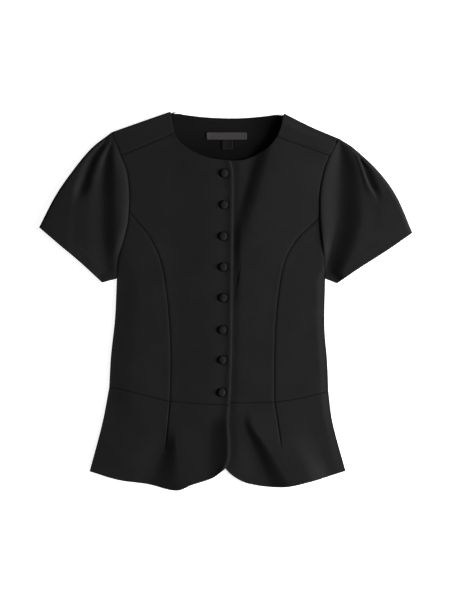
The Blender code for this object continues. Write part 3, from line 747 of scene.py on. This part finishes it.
def back_bodice(sizes):
    """Back: flat on the surface, turned over both shoulder ridges and down to the forward seams."""
    cell = sizes.cell * 1.3
    turns, sides = {}, {}
    for side in (RIGHT, LEFT):
        turns[side.name] = shoulder_turn(side, round(side.ridge.length / cell) + 1)
        sides[side.name] = Path(side.side, side.armhole_low, side.armhole,
                                side.armhole_tip.part(0, 1 - 3.0 / side.armhole_tip.length))
    right, left = turns["right"][0, :, :2], turns["left"][0, ::-1, :2]
    share = np.linspace(0, 1, round(NECK_BACK.length / cell) + 1)
    neck = NECK_BACK.at(share)
    reach = share * NECK_BACK.length
    neck += (right[-1] - neck[0]) * (1 - ease(reach / 16))[:, None]
    neck += (left[0] - neck[-1]) * ease(1 - (NECK_BACK.length - reach) / 16)[:, None]
    top = np.concatenate((right, neck[1:-1], left))
    u = reach_along(top)
    u /= u[-1]
    v = ticks((sides["right"], sides["left"]), cell * 1.25)
    bottom = BACK_WAIST.at(u)
    edges = []
    for side, foot, head in ((RIGHT, bottom[0], top[0]), (LEFT, bottom[-1], top[-1])):
        run = sides[side.name].at(v)
        run[0] = foot
        run += (head - run[-1]) * ease(1 - (1 - v) * 20)[:, None]
        edges.append(run)
    rows = inset(patch(bottom, top, edges[0], edges[1], u, v), top=0)
    rows[-1] = top
    x, y = rows[..., 0], rows[..., 1]
    on_neck = ease((92 - np.abs(x)) / 10) * ease((y - 225) / 20)
    height = BACK_Z + on_neck * (edge_relief(x, y, NECK_BACK, 0.25) + 0.15 * ripple(x, y, 40, 8) + 0.15)
    sheets = [lift(rows, height)]
    for side in (RIGHT, LEFT):
        turn = turns[side.name]
        over = turn[-1, :, :2]
        w = np.linspace(0, 1, len(over))
        s = ticks((side.armhole_tip,), sizes.cell, ((0.0, 0.08),))
        outer = side.armhole_tip.at(s)
        outer += (over[0] - outer[-1]) * s[:, None] ** 4
        seam_end = side.shoulder.at([1.0])[0]
        neck_end = Line(seam_end, (over[-1] + seam_end) / 2 + (side.sign * 1.2, 0), over[-1])
        rows = patch(side.shoulder.at(w), over, outer, neck_end.at(s), w, s)
        rows = inset(rows, top=0, right=0)
        rows[-1] = over
        x, y = rows[..., 0], rows[..., 1]
        relief = unevenness(x, y, sizes) + edge_relief(x, y, neck_end, 0.3)
        for seed, seam in enumerate((side.shoulder, side.armhole_tip), start=41):
            relief += seam_relief(x, y, seam, sizes, seed)
        below = from_line(x, y, Line(*over))[0]
        height = FRONT_Z + (bodice_height(x, y) - FRONT_Z + relief) * ease(below / 14)
        sheets += [turn, lift(rows, height)]
    seams = (RIGHT.shoulder, LEFT.shoulder, RIGHT.armhole_tip, LEFT.armhole_tip)
    return cloth_panel("back_bodice", sheets, sizes, seams, neck_facing_shadow)


def back_peplum(sizes):
    """Back peplum: flat on the surface, just short of the front's hem."""
    u = ticks((BACK_WAIST, BACK_HEM), sizes.cell * 1.5)
    top, bottom = BACK_WAIST.at(u), BACK_HEM.at(u)
    right, left = Line(bottom[0], (-202.6, -200.0), top[0]), Line(bottom[-1], (175.6, -200.0), top[-1])
    v = ticks((right, left), sizes.cell * 1.5)
    rows = filled((BACK_HEM, BACK_WAIST, right, left), u, v, bottom=0, left=0, right=0)
    return cloth_panel("back_peplum", [lift(rows, BACK_Z)], sizes)


def sleeve_height(x, y, u, side):
    """Middle of the sleeve's upper layer: level with the front at the armhole, then pleated."""
    armhole = Path(side.armhole_low, side.armhole, side.armhole_tip)
    seam = np.maximum(bodice_height(x, y), SLEEVE_FOLD_LOW)
    cloth = mix(SLEEVE_FOLD_LOW, pleated(x, y, side.pleats), ease(u / 0.09))
    reach = mix(*side.crest_reach, ease((y - 100) / 80))
    beside = np.minimum(from_line(x, y, armhole)[0] / reach, 1)
    return mix(seam, cloth, beside * (2 - beside))


def spots(row, reach, places):
    """The points of a row at places along it."""
    return np.stack([np.interp(places, reach, row[:, axis]) for axis in (0, 1)], axis=1)


def sleeve(side, sizes):
    """Sleeve: a tube between the armhole and the cuff, its lower layer flat on the surface."""
    armhole = Path(side.armhole_low, side.armhole, side.armhole_tip)
    v = ticks((side.outer,), sizes.cell * 1.2, ((0.0, 0.03), (0.98, 1.0)))
    u = np.linspace(0, 1, ROW_POINTS)
    rows = filled((armhole, side.cuff, side.underarm, side.outer), u, v, top=0, left=0, right=0)
    w = np.linspace(0, 1, round(armhole.length / sizes.cell))
    angle = np.linspace(-math.pi / 2, math.pi / 2, TURN_STEPS + 1)
    upper, turns = [], []
    for row in rows:
        reach = reach_along(row)
        pair, depths = [], []
        for end, corner in enumerate((row[:1], row[-1:])):
            top = sleeve_height(corner[:, 0], corner[:, 1], np.array([float(end)]), side)[0]
            half = (float(top) - BACK_Z) / 2
            depths.append(1.2 * half + 0.5)
            back = WALL / 2 + depths[end] * (1 - np.cos(angle))
            folded = spots(row, reach, reach[-1] - back if end else back)
            pair.append(lift(folded, BACK_Z + half * (1 + np.sin(angle))))
        upper.append(spots(row, reach, mix(WALL / 2 + depths[0], reach[-1] - WALL / 2 - depths[1], w)))
        turns.append(pair)
    upper = np.array(upper)
    x, y = upper[..., 0], upper[..., 1]
    across = np.broadcast_to(w[None], x.shape)
    hem = from_line(x, y, side.cuff)[0]
    room = np.sin(math.pi * across) ** 0.5
    height = sleeve_height(x, y, across, side)
    height += room * (seam_relief(x, y, armhole, sizes, 51 + side.laps) + unevenness(x, y, sizes))
    height += room * (sizes.hem_step * ease((sizes.hem_depth - hem) / 2.2)
                      - 0.1 * bell(hem - sizes.hem_depth - 0.6, 1.2) + edge_relief(x, y, side.cuff, 0.25))
    height = np.maximum(height, BACK_Z + LAYER)
    rings = []
    for row, tops, (first, last) in zip(upper, height, turns):
        rings.append(np.concatenate((first, lift(row[1:-1], tops[1:-1]), last[::-1],
                                     lift(row[::-2], BACK_Z)[1:-1], first[:1])))
    return cloth_panel("sleeve_" + side.name, [np.array(rings)], sizes, (armhole,))


def button_ring(place, radius):
    """The circle in which a button meets the cloth."""
    return Line(*((place[0] + radius * math.cos(a), place[1] + radius * math.sin(a))
                  for a in np.linspace(0, math.tau, 25)))


def button(number, place, sizes):
    """A cloth-covered dome, turned from its profile, sunk a little into the lapping front."""
    px, py = place
    x, y = np.array([px]), np.array([py])
    base = float(bodice_height(x, y)[0] + lap_rise(x)[0]) + WALL / 2 + SEAM
    r, h = sizes.button_radius, sizes.button_height
    profile = [(r * s, h * (0.1 + 0.9 * (1 - 0.3 * s ** 2 - 0.7 * s ** 7)))
               for s in np.linspace(0, 1, 17) ** 0.75]
    profile += [(r * out, up * h) for out, up in ((0.985, 0.02), (0.93, -0.06), (0.82, -0.11), (0.5, -0.16),
                                                  (0.3, -0.25), (0.0, -0.25))]
    bm = bmesh.new()
    verts = [bm.verts.new((a * MM, 0, b * MM)) for a, b in profile]
    edges = [bm.edges.new(pair) for pair in zip(verts, verts[1:])]
    bmesh.ops.spin(bm, geom=verts + edges, cent=(0, 0, 0), axis=(0, 0, 1), dvec=(0, 0, 0),
                   angle=math.tau, steps=BUTTON_SIDES, use_merge=True, use_duplicate=False)
    bmesh.ops.remove_doubles(bm, verts=bm.verts, dist=MERGE * MM)
    order = np.random.default_rng(60 + number)
    lean, phase = order.uniform(-0.3, 0.3, 2), order.uniform(0, math.tau)
    for vert in bm.verts:
        around, up = math.atan2(vert.co.y, vert.co.x), vert.co.z / MM / h
        gather = 1 + 0.022 * math.sin(GATHERS * around + phase) * max(0.0, 1 - abs(up - 0.08) / 0.34)
        vert.co.x *= gather
        vert.co.y *= gather
        vert.co.z += MM * (lean[0] * vert.co.x + lean[1] * vert.co.y) / (MM * r) * 0.35
    bmesh.ops.recalc_face_normals(bm, faces=bm.faces)
    bmesh.ops.translate(bm, verts=bm.verts, vec=Vector((px, py, base)) * MM)
    # painted shade: the button's rim is darkened as if shaded where it meets the cloth
    obj = cloth_object("button_%d_covered" % number, bm, jersey("button_jersey"), order.uniform(0, 0.6),
                       seams=(button_ring(place, r),))
    dress(obj, "button_%d" % number)
    return obj


def stitch(bm, start, end, width):
    """One short stitch, a capsule lying on the cloth."""
    a, b = Vector(start) * MM, Vector(end) * MM
    way = b - a
    made = bmesh.ops.create_uvsphere(bm, u_segments=8, v_segments=6, radius=width * MM / 2)
    for vert in made["verts"]:
        side = 0.5 if vert.co.z > 0 else -0.5
        local = Vector((vert.co.x, vert.co.y, 0))
        turned = way.normalized() * vert.co.z + local.cross(way.normalized())
        vert.co = (a + b) / 2 + way * side + turned


def tape(name, node, box, colour, stitched):
    """A woven tape laid on the inside of the back, raised at its ends where they are turned under, and sewn
    down there when it is stitched.
    """
    x0, y0, x1, y1 = box
    u, v = (np.linspace(0, 1, round(length / TAPE_CELL) + 1) for length in (x1 - x0, y1 - y0))
    x, y = np.meshgrid(mix(x0, x1, u), mix(y0, y1, v))
    ends, sides = np.minimum(x - x0, x1 - x), np.minimum(y - y0, y1 - y)
    corner = bell(np.hypot(ends, sides), 1.6)
    px = x + (mix(x0, x1, 0.5) - x) * corner * 0.01
    py = y + (mix(y0, y1, 0.5) - y) * corner * 0.09
    height = (TAPE_Z + 0.18 * ripple(x, y, 24, 71) + 0.16 * ease((4.5 - ends) / 1.2)
              + 0.08 * bell(np.minimum(ends, sides) - 0.9, 0.5))
    bm = bmesh.new()
    add_sheet(bm, np.stack((px, py, height), axis=-1))
    obj = cloth_object(name, bm, woven(name + "_weave", colour, 0.55))
    give_wall(obj, TAPE_WALL, 0.25, 2)
    dress(obj, node)
    if stitched:
        bm = bmesh.new()
        for place in (x0 + 1.3, x1 - 1.3):
            for k in range(4):
                low = mix(y0, y1, 0.1 + 0.225 * k)
                stitch(bm, (place, low, STITCH_Z), (place, low + STITCH_LENGTH, STITCH_Z), STITCH_WIDTH)
        thread = cloth_object(name + "_stitches", bm, woven(name + "_thread", colour, 0.3))
        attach(thread, "root")
    return obj


def number_prop(name, description, default, **limits):
    """A number that can be set in the sidebar."""
    return FloatProperty(name=name, description=description, default=default, **limits)


def colour_prop(name, description, default):
    """A colour that can be set in the sidebar."""
    return FloatVectorProperty(name=name, description=description, default=default, subtype="COLOR", size=3,
                               min=0, max=1)


class JacketSizes(bpy.types.PropertyGroup):
    """Sizes of the cloth's finer form, in millimetres"""
    cell: number_prop("Cell", "Size of the mesh's cells on the front", 1.7, min=0.8)
    edge_round: number_prop("Edge round", "Rounding of cut and folded edges", 0.45)
    seam_dip: number_prop("Seam dip", "How far a seam draws the cloth down", 0.45)
    pucker: number_prop("Pucker", "Height of the puckers beside a seam", 0.035)
    unevenness: number_prop("Unevenness", "Height of slight swells in the cloth", 0.28)
    edge_bead: number_prop("Front edge bead", "Rise of the rolled front edge", 0.8)
    placket_trough: number_prop("Placket trough", "Dip beside the front edge", 0.2)
    hem_depth: number_prop("Cuff hem", "Depth of the hem at each cuff", 20.0)
    hem_step: number_prop("Hem step", "Rise of the cloth over a hem's turning", 0.28)
    button_dip: number_prop("Button dip", "Dip of the cloth round a button", 0.6)
    button_radius: number_prop("Button radius", "Radius of a covered button", 7.0)
    button_height: number_prop("Button height", "Height of a covered button", 2.8)


class JacketLook(bpy.types.PropertyGroup):
    """Colours and finish of the cloth and tapes"""
    cloth: colour_prop("Cloth", "Colour of the jersey", (0.0126, 0.0126, 0.0127))
    label: colour_prop("Label", "Colour of the neck label", (0.045, 0.042, 0.041))
    tab: colour_prop("Size tab", "Colour of the size tab", (0.0042, 0.0042, 0.0042))
    knit_pitch: number_prop("Knit pitch", "Distance between the knit's rows, mm", 2.9)
    knit_contrast: number_prop("Knit contrast", "Difference of tone in the knit", 0.6)
    # painted shade: how dark the cloth is made at the bottom of a seam
    seam_painted_shade: number_prop("Seam shade", "Tone left in the depth of a seam", 0.36)
    # painted shadow: how much the neck facing is darkened
    facing_painted_shade: number_prop("Facing shade", "Tone that a facing loses", 0.8)
    cloth_gloss: number_prop("Gloss", "Specular level of the cloth", 0.04)
    cloth_bloom: number_prop("Bloom", "Sheen of the cloth's short fibres", 0.012)


class JacketStage(bpy.types.PropertyGroup):
    """Floor, light and camera"""
    camera_height: number_prop("Camera height", "Camera above the floor", 2.337, unit="LENGTH")
    lens: number_prop("Lens", "Focal length in millimetres", 85.0)
    key_elevation: number_prop("Key elevation", "Height of the key light", math.radians(20), subtype="ANGLE")
    key_azimuth: number_prop("Key azimuth", "Way to the key light from +X", math.radians(-4), subtype="ANGLE")
    key_power: number_prop("Key power", "Power of the key light in watts", 196.0)
    fill: number_prop("Fill", "Strength of the light from all round", 0.08)
    floor_glow: number_prop("Floor glow", "Light that the floor gives itself", 0.86)
    floor_segments: IntProperty(name="Floor segments", description="Sides of the floor", default=96)


class JACKET_OT_back(bpy.types.Operator):
    """Back bodice with its shoulder turns, and the back peplum"""
    bl_idname = "jacket.back"
    bl_label = "Add Back"

    def execute(self, context):
        back_bodice(context.scene.jacket_sizes)
        back_peplum(context.scene.jacket_sizes)
        return {"FINISHED"}


class JACKET_OT_fronts(bpy.types.Operator):
    """Centre fronts and side fronts, joined at the princess seams"""
    bl_idname = "jacket.fronts"
    bl_label = "Add Fronts"

    def execute(self, context):
        for side in (RIGHT, LEFT):
            front_center(side, context.scene.jacket_sizes)
            front_side(side, context.scene.jacket_sizes)
        return {"FINISHED"}


class JACKET_OT_peplums(bpy.types.Operator):
    """Front peplums with their darts and flutes"""
    bl_idname = "jacket.peplums"
    bl_label = "Add Front Peplums"

    def execute(self, context):
        for side in (RIGHT, LEFT):
            front_peplum(side, context.scene.jacket_sizes)
        return {"FINISHED"}


class JACKET_OT_sleeves(bpy.types.Operator):
    """Short sleeves with pleated heads and hemmed cuffs"""
    bl_idname = "jacket.sleeves"
    bl_label = "Add Sleeves"

    def execute(self, context):
        for side in (RIGHT, LEFT):
            sleeve(side, context.scene.jacket_sizes)
        return {"FINISHED"}


class JACKET_OT_buttons(bpy.types.Operator):
    """Eight cloth-covered buttons down the front"""
    bl_idname = "jacket.buttons"
    bl_label = "Add Buttons"

    def execute(self, context):
        for number, place in enumerate(BUTTON_PLACES, start=1):
            button(number, place, context.scene.jacket_sizes)
        return {"FINISHED"}


class JACKET_OT_labels(bpy.types.Operator):
    """Bare neck label and size tab inside the back neck"""
    bl_idname = "jacket.labels"
    bl_label = "Add Labels"

    def execute(self, context):
        look = context.scene.jacket_look
        tape("neck_label_tape", "neck_label", LABEL, look.label, stitched=True)
        tape("size_tab_tape", "size_tab", SIZE_TAB, look.tab, stitched=False)
        return {"FINISHED"}


class JACKET_OT_stage(bpy.types.Operator):
    """Pale floor, soft light from the right, and the camera straight above"""
    bl_idname = "jacket.stage"
    bl_label = "Add Stage"

    def execute(self, context):
        stage = context.scene.jacket_stage
        bm = bmesh.new()
        bmesh.ops.create_circle(bm, cap_ends=True, segments=stage.floor_segments, radius=FLOOR_RADIUS)
        rim = [edge for edge in bm.edges if edge.is_boundary]
        raised = bmesh.ops.extrude_edge_only(bm, edges=rim)
        for item in raised["geom"]:
            if isinstance(item, bmesh.types.BMVert):
                item.co.z = RIM_HEIGHT
        bmesh.ops.translate(bm, verts=bm.verts, vec=(0, 0, -FLOOR_DROP))
        material, tree, shader = new_material("floor")
        feed(tree, shader, {
            "Base Color": (0.82, 0.815, 0.81, 1.0), "Roughness": 0.9, "Specular IOR Level": 0.0,
            "Emission Color": (1.0, 0.995, 0.985, 1.0), "Emission Strength": stage.floor_glow})
        new_object("floor", new_mesh("floor", bm, material))

        light = bpy.data.lights.new("key", "AREA")
        light.shape = "RECTANGLE"
        light.size, light.size_y = KEY_SIZE
        light.energy, light.color = stage.key_power, (1.0, 1.0, 1.0)
        key = new_object("key", light)
        e, a = stage.key_elevation, stage.key_azimuth
        way = Vector((math.cos(e) * math.cos(a), math.cos(e) * math.sin(a), math.sin(e)))
        key.location = way * KEY_DISTANCE
        key.rotation_euler = way.to_track_quat("Z", "Y").to_euler()

        world = bpy.data.worlds.new("studio")
        world.use_nodes = True
        feed(world.node_tree, world.node_tree.nodes["Background"],
             {"Color": (1.0, 1.0, 1.0, 1.0), "Strength": stage.fill})
        context.scene.world = world

        lens = bpy.data.cameras.new("camera")
        lens.lens, lens.sensor_width, lens.clip_end = stage.lens, 36.0, 100.0
        camera = new_object("camera", lens)
        camera.location = (CAMERA_X, CAMERA_Y, stage.camera_height)
        context.scene.camera = camera
        context.scene.view_settings.view_transform = "Standard"
        return {"FINISHED"}


class JACKET_PT_panel(bpy.types.Panel):
    """The jacket's sizes, colours and steps"""
    bl_idname = "JACKET_PT_panel"
    bl_label = "Peplum Jacket"
    bl_space_type = "VIEW_3D"
    bl_region_type = "UI"
    bl_category = "Jacket"

    def draw(self, context):
        for group in (context.scene.jacket_sizes, context.scene.jacket_look, context.scene.jacket_stage):
            box = self.layout.box()
            for key in type(group).__annotations__:
                box.prop(group, key)
        for operator in OPERATORS:
            self.layout.operator(operator.bl_idname)


OPERATORS = (JACKET_OT_back, JACKET_OT_fronts, JACKET_OT_peplums, JACKET_OT_sleeves, JACKET_OT_buttons,
             JACKET_OT_labels, JACKET_OT_stage)
CLASSES = (JacketSizes, JacketLook, JacketStage) + OPERATORS + (JACKET_PT_panel,)


def register():
    """Makes the classes and the scene's properties known."""
    for item in CLASSES:
        bpy.utils.register_class(item)
    bpy.types.Scene.jacket_sizes = PointerProperty(type=JacketSizes)
    bpy.types.Scene.jacket_look = PointerProperty(type=JacketLook)
    bpy.types.Scene.jacket_stage = PointerProperty(type=JacketStage)


def unregister():
    """Takes them away again."""
    del bpy.types.Scene.jacket_sizes, bpy.types.Scene.jacket_look, bpy.types.Scene.jacket_stage
    for item in reversed(CLASSES):
        bpy.utils.unregister_class(item)


def main():
    """Builds the whole scene step by step."""
    register()
    for step in (bpy.ops.jacket.back, bpy.ops.jacket.fronts, bpy.ops.jacket.peplums, bpy.ops.jacket.sleeves,
                 bpy.ops.jacket.buttons, bpy.ops.jacket.labels, bpy.ops.jacket.stage):
        step()


if __name__ == "__main__":
    main()
